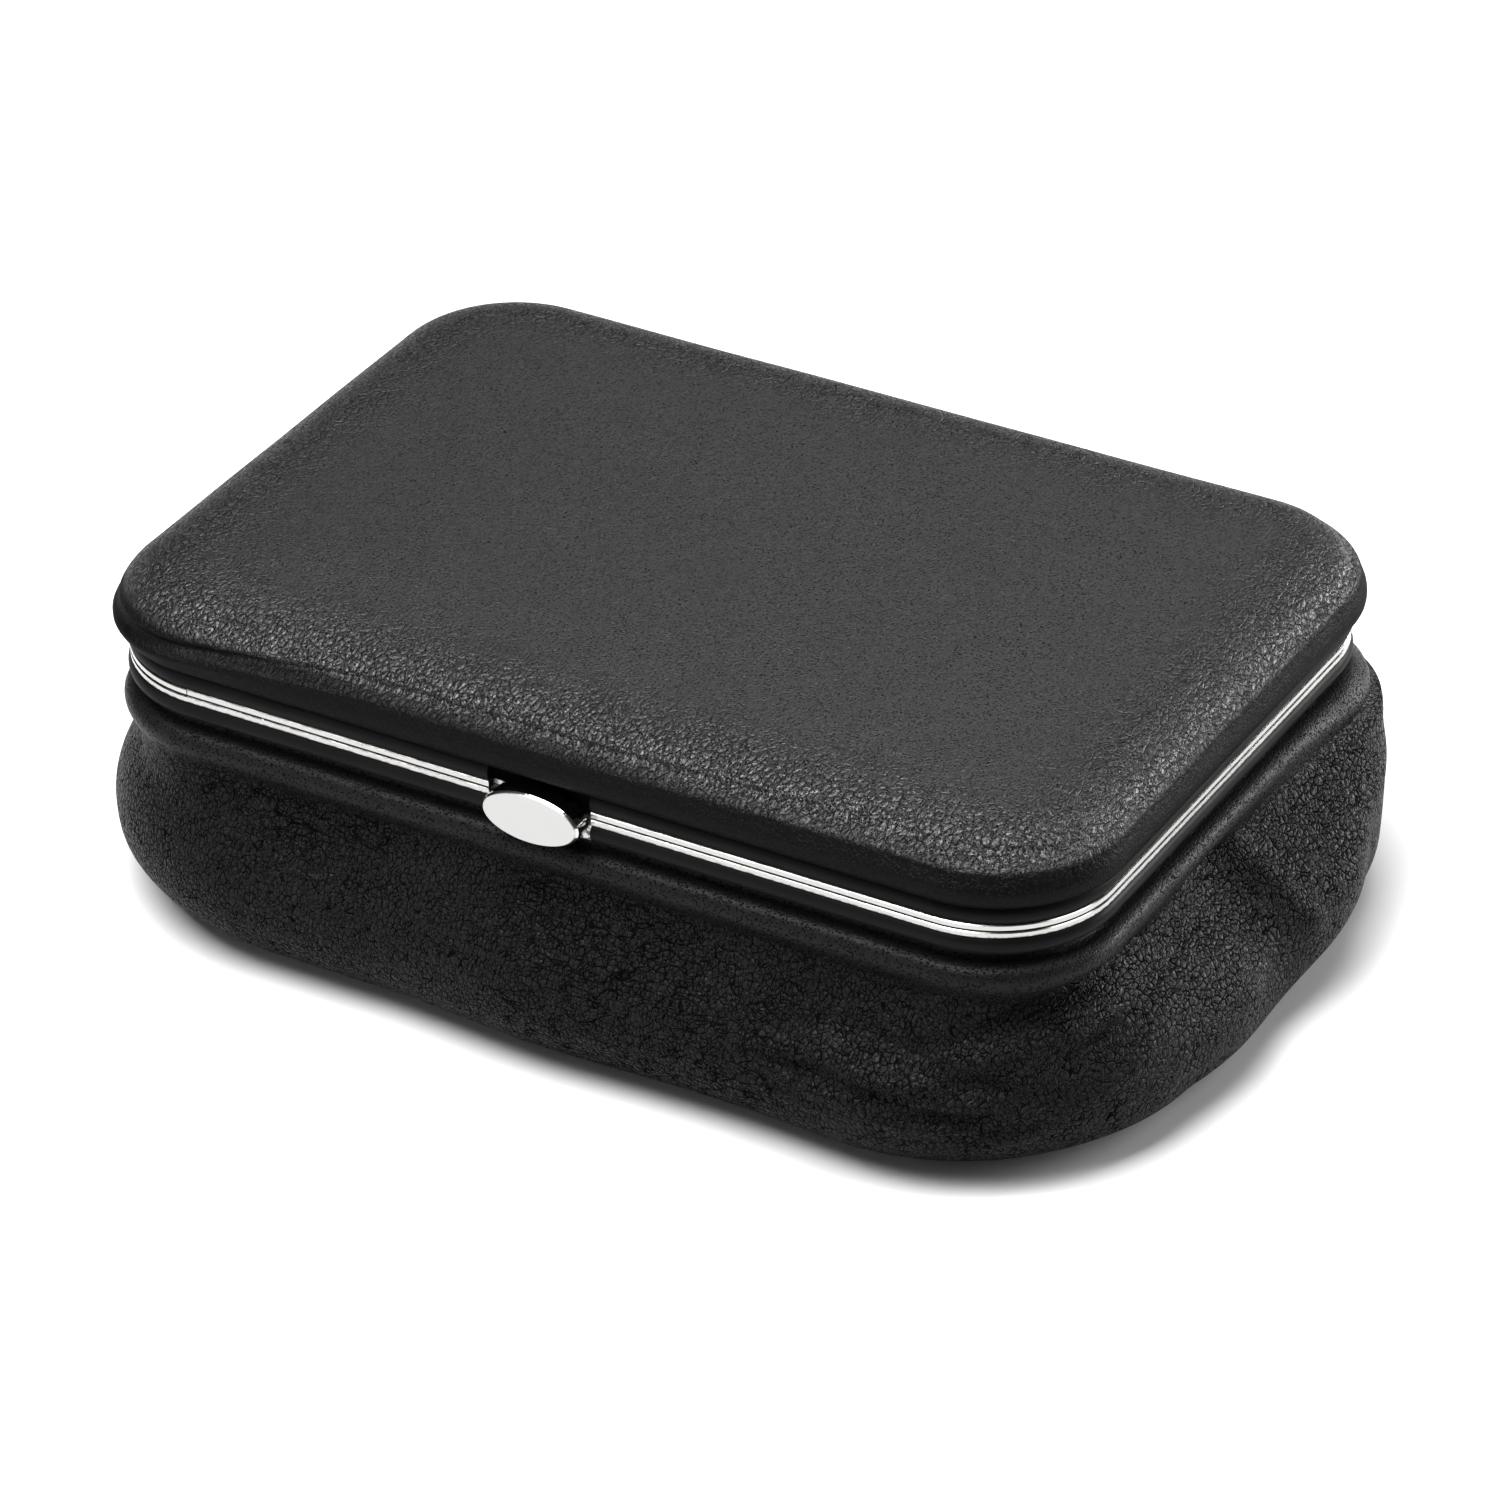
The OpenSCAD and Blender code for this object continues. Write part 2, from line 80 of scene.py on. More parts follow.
class Value:
    """A node's output. Arithmetic on it adds Math nodes."""

    def __init__(self, finish, socket):
        self.finish = finish
        self.socket = socket

    def maths(self, operation, *values):
        return self.finish.node("ShaderNodeMath", {"operation": operation},
                                dict(enumerate(values)))

    def __add__(self, other):
        return self.maths("ADD", self, other)

    def __sub__(self, other):
        return self.maths("SUBTRACT", self, other)

    def __mul__(self, other):
        return self.maths("MULTIPLY", self, other)

    def __truediv__(self, other):
        return self.maths("DIVIDE", self, other)

    def __radd__(self, other):
        return self.maths("ADD", other, self)

    def __rsub__(self, other):
        return self.maths("SUBTRACT", other, self)

    def __rmul__(self, other):
        return self.maths("MULTIPLY", other, self)

    def __pow__(self, other):
        return self.maths("POWER", self, other)

    def most(self, other):
        return self.maths("MAXIMUM", self, other)

    def size(self):
        return self.maths("ABSOLUTE", self)

    def step(self, low, high):
        """0 below low, 1 above high, with a smooth change between them; low may be the larger"""
        flipped = low > high
        lo, hi = (high, low) if flipped else (low, high)
        out = self.finish.node("ShaderNodeMapRange", {"interpolation_type": "SMOOTHSTEP"},
                               {"Value": self, "From Min": lo, "From Max": hi})
        return 1 - out if flipped else out


class Finish:
    """A material built from nodes, with its positions in millimetres"""

    def __init__(self, name):
        self.material = bpy.data.materials.new(name)
        self.material.use_nodes = True
        self.nodes = self.material.node_tree.nodes
        self.links = self.material.node_tree.links
        self.nodes.clear()
        place = self.node("ShaderNodeTexCoord", out="Object")
        self.mm = self.vector("SCALE", place, Scale=1 / MM)
        self.x, self.y, self.z = (self.node("ShaderNodeSeparateXYZ", {}, {0: self.mm}, out=k)
                                  for k in range(3))

    def node(self, kind, settings=None, inputs=None, out=0):
        made = self.nodes.new(kind)
        for key, setting in (settings or {}).items():
            setattr(made, key, setting)
        for key, given in (inputs or {}).items():
            if isinstance(given, Value):
                self.links.new(given.socket, made.inputs[key])
            else:
                made.inputs[key].default_value = given
        return Value(self, made.outputs[out])

    def vector(self, operation, *values, **named):
        inputs = dict(enumerate(values))
        inputs.update(named)
        return self.node("ShaderNodeVectorMath", {"operation": operation}, inputs)

    def stretched(self, place, factors):
        return self.vector("MULTIPLY", place, factors)

    def noise(self, place, size, detail=3.0, rough=0.55, out=0):
        return self.node("ShaderNodeTexNoise", {},
                         {"Vector": place, "Scale": 1 / size, "Detail": detail, "Roughness": rough}, out)

    def cells(self, place, size, feature="DISTANCE_TO_EDGE", randomness=1.0):
        return self.node("ShaderNodeTexVoronoi", {"feature": feature},
                         {"Vector": place, "Scale": 1 / size, "Randomness": randomness})

    def warped(self, place, size, amount):
        """Positions pushed about by noise of that size, by up to about amount mm"""
        push = self.vector("SUBTRACT", self.noise(place, size, 2.0, out=1), (0.5, 0.5, 0.5))
        return self.vector("ADD", place, self.vector("SCALE", push, Scale=2 * amount))

    def mix(self, share, a, b):
        return self.node("ShaderNodeMix", {"data_type": "RGBA"}, {0: share, 6: a, 7: b}, out=2)

    def tint(self, share, a, b):
        """A colour between a and b, each given as three numbers"""
        return self.mix(share, (*a, 1), (*b, 1))

    def bump(self, height, depth, strength=1.0):
        """Normals for a height from 0 to 1 that stands for depth mm"""
        return self.node("ShaderNodeBump", {}, {"Height": height, "Distance": depth * MM,
                                                "Strength": strength})

    def principled(self, **inputs):
        named = {key.replace("_", " "): given for key, given in inputs.items()}
        return self.node("ShaderNodeBsdfPrincipled", {}, named)

    def darkened(self, share, shader, tone):
        """The shader, mixed towards a matt dark tone where share is 1: for grooves, for dulling, and for
        painted shade
        """
        groove = self.node("ShaderNodeBsdfDiffuse", {}, {"Color": (*tone, 1)})
        return self.node("ShaderNodeMixShader", {}, {0: share, 1: shader, 2: groove})

    def done(self, shader):
        made = self.nodes.new("ShaderNodeOutputMaterial")
        self.links.new(shader.socket, made.inputs["Surface"])
        return self.material

    def surface(self, **inputs):
        return self.done(self.principled(**inputs))


# ---------- materials ----------

def inside_lips(f):
    """How far a place lies inside the polished lips in plan, in mm, up to the corner radius"""
    x = (f.x.size() - (HALF_L - CORNER)).most(0)
    y = (f.y.size() - (HALF_W - CORNER)).most(0)
    return CORNER - (x * x + y * y) ** 0.5


def leather(f, cell, where, deep, gloss, painted_shade, veins=None, mark=None):
    """Black leather with pores and, where asked, pebbles of that size in mm with cracks between
    them. deep, from 0 to 1, is how black the cracks are and gloss is the skin's specular level.
    The next argument is the share of painted shade: a matt dark tone laid over the skin where shade
    should fall. veins adds longer cracks, and mark a raised place."""
    bent = f.warped(f.warped(f.stretched(f.mm, (1.1, 0.7, 0.8)), 6.0, 0.9), 0.9, 0.17)
    pebble = f.cells(bent, cell, randomness=0.9)
    small = f.cells(f.warped(bent, 0.5, 0.12), 0.62)
    pores = f.cells(f.warped(f.mm, 0.7, 0.15), 0.52, "F1")
    patch = f.noise(f.mm, 20.0, 3.0)
    wide = f.noise(f.mm, 2.4, 2.0).step(0.35, 0.7) * 0.10 + 0.05
    cracks = (1 - (pebble / wide).step(0.15, 1.0)) * where
    lines = (1 - small.step(0.03, 0.17)) * (where * 0.6 + 0.4)
    dots = pores.step(0.42, 0.25)
    mottle = f.noise(f.mm, 0.45, 2.0, 0.7).step(0.38, 0.62)
    height = pebble.step(0.0, 0.45) * where * 0.40 - cracks * 0.35 - lines * 0.16 - dots * 0.18
    if veins:
        cracks = cracks.most(veins)
        height = height - veins * 0.6 + mark
    height = height + f.noise(f.mm, 0.32, 2.0, 0.6) * 0.22 + f.noise(f.mm, 3.2, 3.0) * 0.4
    tone = f.tint(f.noise(f.mm, 1.1, 3.0), (0.0045, 0.0045, 0.0050), (0.0095, 0.0095, 0.0102))
    skin = f.principled(Base_Color=tone, Roughness=0.30 + patch * 0.10, Specular_IOR_Level=gloss,
                        Normal=f.bump(height, 0.30, 1.0))
    # the dark matt share takes in the grain's cracks, pores and fine lines, and the painted shade
    groove = (cracks * deep).most(dots * 0.9).most(lines * 0.5).most(mottle * 0.38).most(painted_shade)
    return f.done(f.darkened(groove, skin, (0.0007, 0.0007, 0.0008)))


def lid_leather():
    """Pebbled over the padded edge, and smoother in the middle and on the roll by the frame"""
    f = Finish("lid_leather")
    edge = (inside_lips(f) + f.noise(f.mm, 16.0, 3.0) * 12 - 6).step(21.0, 4.0)
    above = f.z.step(JOINT + 10.6, JOINT + 12.8)
    pebbled = edge * f.z.step(JOINT + 9.0, JOINT + 12.0) * 0.85 + 0.15
    # painted shade: below the padded edge the lid's side is mostly covered by the matt dark tone, standing
    # for the shade that falls on it
    return leather(f, cell=1.35, where=pebbled, deep=0.7, gloss=0.58, painted_shade=(1 - above) * 0.88)


def pouch_leather():
    """Pebbled all over below the roll, with long level creases here and there"""
    f = Finish("pouch_leather")
    below = f.z.step(JOINT - 9.0, JOINT - 14.0)
    long = f.warped(f.warped(f.stretched(f.mm, (0.5, 0.5, 1.5)), 5.0, 2.0), 1.2, 0.4)
    front = f.y.step(-HALF_W + 6, -HALF_W - 1) * f.x.step(62, 40)
    where = f.noise(f.mm, 30.0, 1.0).step(0.38, 0.58) * below * front
    veins = (1 - f.cells(long, 2.3).step(0.01, 0.06)) * where
    # a round scar in the hide, left of the button
    centre = (CLASP - 41, -0.2 * (HALF_W + 4), JOINT - 21.5)
    away = f.node("ShaderNodeVectorMath", {"operation": "DISTANCE"},
                  {0: f.stretched(f.mm, (1, 0.2, 1)), 1: centre}, out=1)
    scar = away.step(2.2, 0.8) * 1.2 - away.step(1.6, 2.2) * away.step(3.2, 2.2) * 0.8
    rim = away.step(1.0, 1.8) * away.step(2.8, 2.0) * 0.4
    # painted shade: the roll just under the frame gets a little of the matt dark tone, standing for the shade
    # under the frame
    return leather(f, cell=1.05, where=below, deep=0.95, gloss=0.11, painted_shade=(1 - below) * 0.2,
                   veins=veins.most(rim), mark=scar)


def polished_metal():
    f = Finish("polished_nickel")
    rub = f.noise(f.stretched(f.mm, (0.25, 0.25, 4.0)), 1.2, 4.0)
    pits = f.cells(f.warped(f.mm, 3.0, 1.0), 2.6, "F1").step(0.09, 0.2)
    bare = f.noise(f.mm, 9.0, 2.0).step(0.5, 0.62)
    worn = 1 - (1 - pits) * bare
    wave = f.noise(f.stretched(f.mm, (1.0, 1.0, 2.0)), 5.0, 2.0)
    shine = f.principled(Base_Color=f.tint(worn, (0.10, 0.095, 0.09), (0.42, 0.415, 0.405)),
                         Metallic=1.0, Roughness=0.13 + rub * 0.12 + (1 - worn) * 0.3,
                         Normal=f.bump(wave + worn * 0.25 + rub * 0.05, 0.10, 0.6))
    # painted shade: the recess above the button is coloured black, standing for the shade inside it
    beside = (f.x - CLASP).size().step(10.0, 9.4)
    deep = f.y.step(-HALF_W + 1.45, -HALF_W + 1.55) * f.y.step(-HALF_W + 2.7, -HALF_W + 2.5)
    paint = beside * deep * f.z.step(JOINT + 0.9, JOINT + 1.1)
    # tarnish that creeps up from the lower edge of the lips
    ragged = f.noise(f.stretched(f.mm, (1.0, 1.0, 2.0)), 0.9, 3.0)
    tarnish = f.z.step(JOINT - 0.70, JOINT - 1.15) * ragged.step(0.42, 0.56)
    return f.done(f.darkened(paint.most(tarnish * 0.85), shine, (0.003, 0.003, 0.003)))


def button_metal():
    f = Finish("button_nickel")
    face = f.y.step(-HALF_W - 3.25, -HALF_W - 3.4)
    brush = f.noise(f.stretched(f.mm, (0.3, 1.0, 3.0)), 0.5, 3.0)
    return f.surface(Base_Color=f.tint(face, (0.55, 0.545, 0.53), (0.42, 0.42, 0.415)), Metallic=1.0,
                     Roughness=0.10 + face * 0.16 + brush * 0.06,
                     Normal=f.bump(brush, 0.01, 0.5))


def band_black():
    f = Finish("band_black")
    haze = f.noise(f.stretched(f.mm, (0.3, 0.3, 1.5)), 4.0, 3.0)
    fine = f.noise(f.mm, 0.35, 2.0)
    paint = f.principled(Base_Color=f.tint(haze, (0.006, 0.006, 0.0065), (0.010, 0.010, 0.0105)),
                         Roughness=0.30 + haze * 0.16, Specular_IOR_Level=0.12,
                         Normal=f.bump(fine * 0.3 + haze, 0.03, 0.5))
    return f.done(f.darkened(haze * 0.3 + 0.45, paint, (0.003, 0.003, 0.003)))


def hinge_steel():
    f = Finish("hinge_steel")
    turned = f.noise(f.stretched(f.mm, (3.0, 0.6, 0.6)), 0.8, 3.0)
    return f.surface(Base_Color=f.tint(turned, (0.62, 0.61, 0.59), (0.78, 0.77, 0.75)), Metallic=1.0,
                     Roughness=0.18 + turned * 0.18, Normal=f.bump(turned, 0.02, 0.5))


def spring_steel():
    f = Finish("spring_steel")
    drawn = f.noise(f.stretched(f.mm, (0.4, 3.0, 3.0)), 0.6, 3.0)
    return f.surface(Base_Color=f.tint(drawn, (0.40, 0.40, 0.39), (0.60, 0.60, 0.59)), Metallic=1.0,
                     Roughness=0.26 + drawn * 0.2, Normal=f.bump(drawn, 0.02, 0.5))


def bush_brass():
    f = Finish("bush_brass")
    lathe = f.noise(f.stretched(f.mm, (0.6, 4.0, 0.6)), 0.5, 2.0)
    return f.surface(Base_Color=f.tint(lathe, (0.58, 0.40, 0.16), (0.78, 0.58, 0.28)), Metallic=1.0,
                     Roughness=0.22 + lathe * 0.15, Normal=f.bump(lathe, 0.015, 0.5))


def suedette(name, dark, light, nap):
    """A soft napped cloth: short fibres, with broad patches where the nap lies the other way"""
    f = Finish(name)
    fibres = f.noise(f.warped(f.mm, 0.8, 0.3), 0.16, 3.0, 0.7)
    brushed = f.noise(f.mm, 18.0, 4.0)
    shade = (fibres * 0.6 + brushed * 0.7).step(0.35, 0.95)
    return f.surface(Base_Color=f.tint(shade, dark, light), Roughness=0.88 + fibres * 0.08,
                     Sheen_Weight=0.25, Sheen_Roughness=0.45, Specular_IOR_Level=0.2,
                     Normal=f.bump(fibres * nap + brushed * 0.3, 0.12, 0.8))


def pressed_board():
    f = Finish("pressed_board")
    specks = f.noise(f.mm, 0.5, 4.0, 0.7)
    pulp = f.cells(f.warped(f.mm, 2.0, 0.8), 1.1, "F1")
    return f.surface(Base_Color=f.tint(specks, (0.30, 0.25, 0.19), (0.50, 0.44, 0.34)),
                     Roughness=0.85 + specks * 0.08, Normal=f.bump(specks + pulp * 0.4, 0.05, 0.7))


def wadding():
    f = Finish("wadding")
    wisps = f.noise(f.warped(f.mm, 3.0, 2.0), 1.2, 5.0, 0.7)
    return f.surface(Base_Color=f.tint(wisps, (0.55, 0.51, 0.43), (0.80, 0.77, 0.69)),
                     Roughness=0.95, Specular_IOR_Level=0.15, Normal=f.bump(wisps, 0.5, 0.9))


def floor_white():
    """Pale paper floor that glows further out, so that it stays pale in low views"""
    f = Finish("floor_white")
    reach = f.node("ShaderNodeVectorMath", {"operation": "LENGTH"}, {0: f.mm}, out=1)
    glow = f.tint(reach.step(500, 1400), (0.0, 0.0, 0.0), (0.95, 0.95, 0.95))
    return f.surface(Base_Color=(0.58, 0.58, 0.58, 1), Roughness=0.7, Specular_IOR_Level=0.1,
                     Emission_Color=glow, Emission_Strength=1.0)


# ---------- lofted shells ----------

def smooth(low, high, x):
    t = np.clip((x - low) / (high - low), 0, 1)
    return t * t * (3 - 2 * t)


def spline(points, spacing):
    """Points about spacing mm apart on a smooth curve through the given points"""
    p = np.array(points, float)
    p = np.vstack([2 * p[0] - p[1], p, 2 * p[-1] - p[-2]])
    out = []
    for a, b, c, d in zip(p, p[1:], p[2:], p[3:]):
        steps = max(1, int(round(np.linalg.norm(c - b) / spacing)))
        for k in range(steps):
            t = k / steps
            out.append(0.5 * (2 * b + (c - a) * t + (2 * a - 5 * b + 4 * c - d) * t ** 2
                              + (3 * b - a - 3 * c + d) * t ** 3))
    out.append(p[-2])
    return np.array(out)


class Outline:
    """Vertices once round a rounded rectangle, anticlockwise from the right end of the front's
    middle. run is the distance in mm along the lips from the middle of the front."""

    def __init__(self, along_l, along_w, round_corner):
        corners = [(1, -1, -90, along_w), (1, 1, 0, along_l), (-1, 1, 90, along_w), (-1, -1, 180, along_l)]
        places = []
        for x, y, start, straight in corners:
            places += [(x, y, start + 90 * k / round_corner, 0.0) for k in range(round_corner)]
            places += [(x, y, start + 90, k / straight) for k in range(straight)]
        self.sx, self.sy, angle, self.ahead = (np.array(column) for column in zip(*places))
        self.angle = np.radians(angle)
        self.count = len(places)
        base, _ = self.at(HALF_L, HALF_W, CORNER)
        gaps = np.linalg.norm(np.diff(base, axis=0, append=base[:1]), axis=1)
        run = np.concatenate([[0], np.cumsum(gaps)[:-1]])
        self.around = gaps.sum()
        run = run + (HALF_L - CORNER)
        self.run = np.where(run > self.around / 2, run - self.around, run)

    def at(self, half_l, half_w, corner):
        """Positions and outward directions in plan. The sizes may differ from vertex to vertex."""
        cx, cy = half_l - corner, half_w - corner
        x = self.sx * cx + corner * np.cos(self.angle)
        y = self.sy * cy + corner * np.sin(self.angle)
        turn = np.round(np.degrees(self.angle)).astype(int) % 360
        on_l = (self.ahead > 0) & ((turn == 90) | (turn == 270))
        on_w = (self.ahead > 0) & ((turn == 0) | (turn == 180))
        x = np.where(on_l, x - self.sx * 2 * cx * self.ahead, x)
        y = np.where(on_w, y - self.sy * 2 * cy * self.ahead, y)
        return np.stack([x, y], 1), np.stack([np.cos(self.angle), np.sin(self.angle)], 1)


def link(name, data):
    """A new object with that data, in the scene"""
    made = bpy.data.objects.new(name, data)
    bpy.context.scene.collection.objects.link(made)
    return made


def grid_mesh(name, rings, close_first=False, close_last=True, upwards=False):
    """A smooth mesh from rings of positions in mm, one ring per row. A closed end gets a fan of
    triangles to its middle."""
    rings = np.asarray(rings)
    rows, count = rings.shape[:2]
    points = [tuple(p * MM) for ring in rings for p in ring]
    faces = []
    for i in range(rows - 1):
        for j in range(count):
            k = (j + 1) % count
            quad = (i * count + j, i * count + k, (i + 1) * count + k, (i + 1) * count + j)
            faces.append(quad if upwards else quad[::-1])
    for closed, row in ((close_first, 0), (close_last, rows - 1)):
        if closed:
            points.append(tuple(rings[row].mean(0) * MM))
            middle = len(points) - 1
            for j in range(count):
                k = (j + 1) % count
                face = (row * count + j, row * count + k, middle)
                out = (row > 0) == upwards
                faces.append(face if out else face[::-1])
    mesh = bpy.data.meshes.new(name)
    mesh.from_pydata(points, [], faces)
    mesh.update()
    for polygon in mesh.polygons:
        polygon.use_smooth = True
    return link(name, mesh)


def thicken(piece, thickness):
    """Give a skin its thickness in mm, measured inwards"""
    skin = piece.modifiers.new("thickness", "SOLIDIFY")
    skin.thickness = thickness * MM
    skin.offset = -1


def paint(piece, finish):
    """Give the whole piece one material"""
    piece.data.materials.clear()
    piece.data.materials.append(finish)
    for polygon in piece.data.polygons:
        polygon.material_index = 0


def shrink_rows(ring, steps, lift):
    """Rows that carry a ring inwards to near its middle, rising by lift(share) mm"""
    middle = ring.mean(0)
    out = []
    for k in range(1, steps + 1):
        share = k / (steps + 1)
        row = middle + (ring - middle) * (1 - share)
        row[:, 2] = ring[:, 2] + lift(share)
        out.append(row)
    return out


def fold(run, depth, at_run, at_depth, lean, length, width, bend=0.0):
    """How strongly a fold shows at each place: 1 on its line, fading to 0 beside and beyond it.
    lean turns the line from level, and bend curves it."""
    c, s = math.cos(math.radians(lean)), math.sin(math.radians(lean))
    u = (run - at_run) * c + (depth - at_depth) * s
    v = -(run - at_run) * s + (depth - at_depth) * c - bend * u * u
    return np.exp(-(u / length) ** 2 - (v / width) ** 2)


def ripple(run, depth, wave, seed):
    """Gentle unevenness made of a few crossing waves, between about -1 and 1"""
    rng = np.random.default_rng(seed)
    total = 0
    for _ in range(7):
        turn, phase = rng.uniform(0, math.pi), rng.uniform(0, 2 * math.pi)
        long = wave * rng.uniform(0.7, 1.6)
        total = total + np.sin(2 * math.pi / long * (run * math.cos(turn) + depth * math.sin(turn)) + phase)
    return total / 4


# ---------- pouch ----------

NECK = [(-2.45, 1.6), (-2.45, 3.6), (-2.4, 5.5), (-1.7, 6.5), (-0.5, 6.7), (0.6, 7.3), (1.25, 8.4),
        (1.3, 9.6), (0.9, 10.9), (0.2, 12.2)]
# How the leather hangs at places round the pouch, in mm: run along the lips from the middle of the
# front, swell beyond the lips where it is widest, tuck under the frame, depth of the widest part,
# depth where the swell sets in, and growth of the corner radius
POUCH_SHAPE = [
    (0, 9.5, 1.0, 32, 11.5, 24),        # middle of the front
    (42, 8.5, 1.0, 32, 11.5, 18),
    (86, 10.0, 1.0, 32, 11.5, 18),      # front right corner
    (126, 13.5, 1.0, 32, 11.5, 18),
    (160, 13.0, 1.0, 29, 11.0, 18),     # right end
    (200, 8.5, 0.0, 20, 6.0, 14),       # back right corner
    (244, 6.5, 1.0, 32, 11.5, 16),
    (287, 5.5, 1.0, 32, 11.5, 16),      # middle of the back
    (-244, 6.0, 1.0, 32, 11.5, 16),
    (-200, 8.5, 2.0, 32, 11.5, 16),     # back left corner
    (-143, 10.0, 2.0, 32, 11.5, 14),    # left end
    (-86, 7.5, 0.5, 32, 8.5, 18),       # front left corner
    (-42, 7.5, 1.0, 32, 11.5, 20),
]
BOTTOM_H = 13.1         # height of the curve from the pouch's side to its flat bottom
BOTTOM_W = 15.4         # width of that curve in plan

# Folds in the pouch's leather, each with its outward push and its place (run and depth) in mm, its
# lean in degrees, its length and width in mm, and its bend
CORNER_GATHERS = [      # runs measured from the frame's corner at the front right
    (-2.6, 6, 15.0, -14, 16, 2.4, 0.010),
    (1.9, 1, 20.0, -12, 20, 2.8, 0.012),
    (-1.2, 12, 21.0, -22, 12, 1.7, 0.014),
    (0.9, 14, 25.0, -24, 13, 1.7, 0.014),
    (-1.2, -14, 22.5, 12, 14, 1.8, 0.014),
    (0.8, -16, 26.0, 8, 16, 1.7, 0.012),
    (-0.9, -18, 29.0, 6, 15, 1.5, 0.012),
    (0.6, -20, 32.0, 4, 14, 1.5, 0.010),
]
END_FOLDS = [           # runs measured from the middle of the front
    (2.6, 168, 24, 80, 20, 17, 0.0),        # hollow and ridges on the right-hand end
    (-2.6, 138, 22, 74, 20, 9, 0.0),
    (1.1, 148, 19, 66, 12, 2.6, 0.0),
    (-1.8, -92, 16, 10, 15, 4.5, 0.0),      # hollow under the frame's corner at the front left
    (1.2, -98, 30, 0, 26, 12, 0.0),
]


def around(run, whole):
    """The pouch's shape values at each place, smoothly joined between the places of POUCH_SHAPE"""
    table = np.array(sorted(POUCH_SHAPE))
    table = np.vstack([table[-1], table, table[0]])
    table[0, 0] -= whole
    table[-1, 0] += whole
    at = table[:, 0]
    k = np.clip(np.searchsorted(at, run, side="right") - 1, 0, len(at) - 2)
    share = smooth(0, 1, (run - at[k]) / (at[k + 1] - at[k]))
    return [values[k] + (values[k + 1] - values[k]) * share for values in table.T[1:]]


def pouch_rings(outline, inside=0.0):
    """Rows of the pouch from the frame's channel down to the flat bottom"""
    run, whole = outline.run, outline.around
    depth_all = JOINT - FLOOR
    swell, waist, widest, start, rounder = around(run, whole)
    rows = [tuple(point) for point in spline(NECK, 0.55)]
    rows += [(None, d) for d in np.arange(13.0, depth_all - BOTTOM_H, 0.8)]
    rows += [(t, None) for t in np.linspace(0, 90, 22)]
    rings = []
    for r, d in rows:
        if r is None:
            out = smooth(start, widest, np.full(outline.count, d))
            push = 0.2 - waist * smooth(10.5, 15.5, d) * (1 - out) + (swell - 0.2) * out
        elif d is None:
            out = np.ones(outline.count)
            push = swell - BOTTOM_W * (1 - math.cos(math.radians(r)))
            d = depth_all - BOTTOM_H * (1 - math.sin(math.radians(r)))
        else:
            out = np.zeros(outline.count)
            push = np.full(outline.count, r)
        push = push + pouch_folds(run, d) * smooth(10, 14, d) - inside
        # the leather bulges under the frame's corner at the back right
        push = push + 3.2 * fold(run, np.full_like(run, d), 205, 12.0, 0, 30, 4.0) * smooth(6, 10, d)
        corner = np.maximum(CORNER + push * (1 - 0.75 * out) + out * rounder, 4.0)
        plan, _ = outline.at(HALF_L + push, HALF_W + push, corner)
        z = max(JOINT - d, FLOOR + 2 * inside)
        rings.append(np.column_stack([plan, np.full(outline.count, z)]))
    rings += shrink_rows(rings[-1], 10, lambda share: 0.0)
    return rings


def pouch_folds(run, depth):
    """Outward push of the leather's folds, in mm"""
    d = np.full_like(run, depth)
    fade = smooth(3, 17, (JOINT - FLOOR) - depth)
    push = 0.32 * ripple(run, d, 46.0, 3) + 0.14 * ripple(run, d, 17.0, 8)
    corner = HALF_L - CORNER + 16
    for strength, at_run, *rest in CORNER_GATHERS:
        push += strength * fold(run, d, corner + at_run, *rest)
    # level wrinkles low on the front, towards that corner
    zone = np.exp(-((run - corner + 26) / 30) ** 2 - ((d - 33) / 7.5) ** 2)
    wander = 1.3 * ripple(run, d, 30.0, 11) + 0.6 * ripple(run, d, 11.0, 12)
    wrinkle = np.sin(2 * math.pi * (d + 0.10 * (run - corner) + wander) / 3.9)
    push += 0.5 * zone * wrinkle * (0.75 + 0.5 * ripple(run, d, 16.0, 13))
    for strength, *rest in END_FOLDS:
        push += strength * fold(run, d, *rest)
    return push * fade


def make_pouch(finish):
    outline = Outline(128, 78, 60)
    pouch = grid_mesh("pouch_leather_skin", pouch_rings(outline), close_last=True)
    thicken(pouch, 1.1)
    paint(pouch, finish)
    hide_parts("pouch_leather")
    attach(pouch, "base")


# ---------- lid ----------

LID_SIDE = [(-2.45, 1.6), (-2.45, 3.4), (-2.4, 4.9), (-1.7, 5.1), (-0.6, 4.95), (0.6, 5.0), (1.55, 5.4),
            (2.1, 6.3), (2.2, 7.4), (2.05, 8.4)]
LID_OUT = 2.2           # how far the lid's side stands beyond the lips
LID_TOP = 15.9          # height of the padded top above the joint, where its edge ends
LID_EDGE_W = 10.9       # width in plan of the padded edge's curve
LID_EDGE_EXTRA = 7.5    # what it gains along the front
LID_EDGE_H = 9.3        # height of that curve


def lid_edge_width(outline):
    """Width in plan of the padded edge's curve, which is broader along the front"""
    front = np.clip(-np.sin(outline.angle), 0, 1) ** 2
    return LID_EDGE_W + LID_EDGE_EXTRA * front


def lid_crease(run, height):
    """Outward push of the crease between the lid's side and its padded edge, with a ridge under it"""
    left, right = -(HALF_L - CORNER), HALF_L - CORNER
    line = 8.8 + 3.2 * smooth(left - 20, left + 40, run) + 0.8 * smooth(0, right, run)
    front = smooth(left - 28, left + 5, run) * (1 - smooth(right, right + 30, run))
    strength = 0.3 + 0.7 * front
    groove = np.exp(-((height - line) / 0.7) ** 2)
    ridge = np.exp(-((height - line + 1.6) / 0.9) ** 2)
    return strength * (0.55 * ridge - 1.0 * groove)


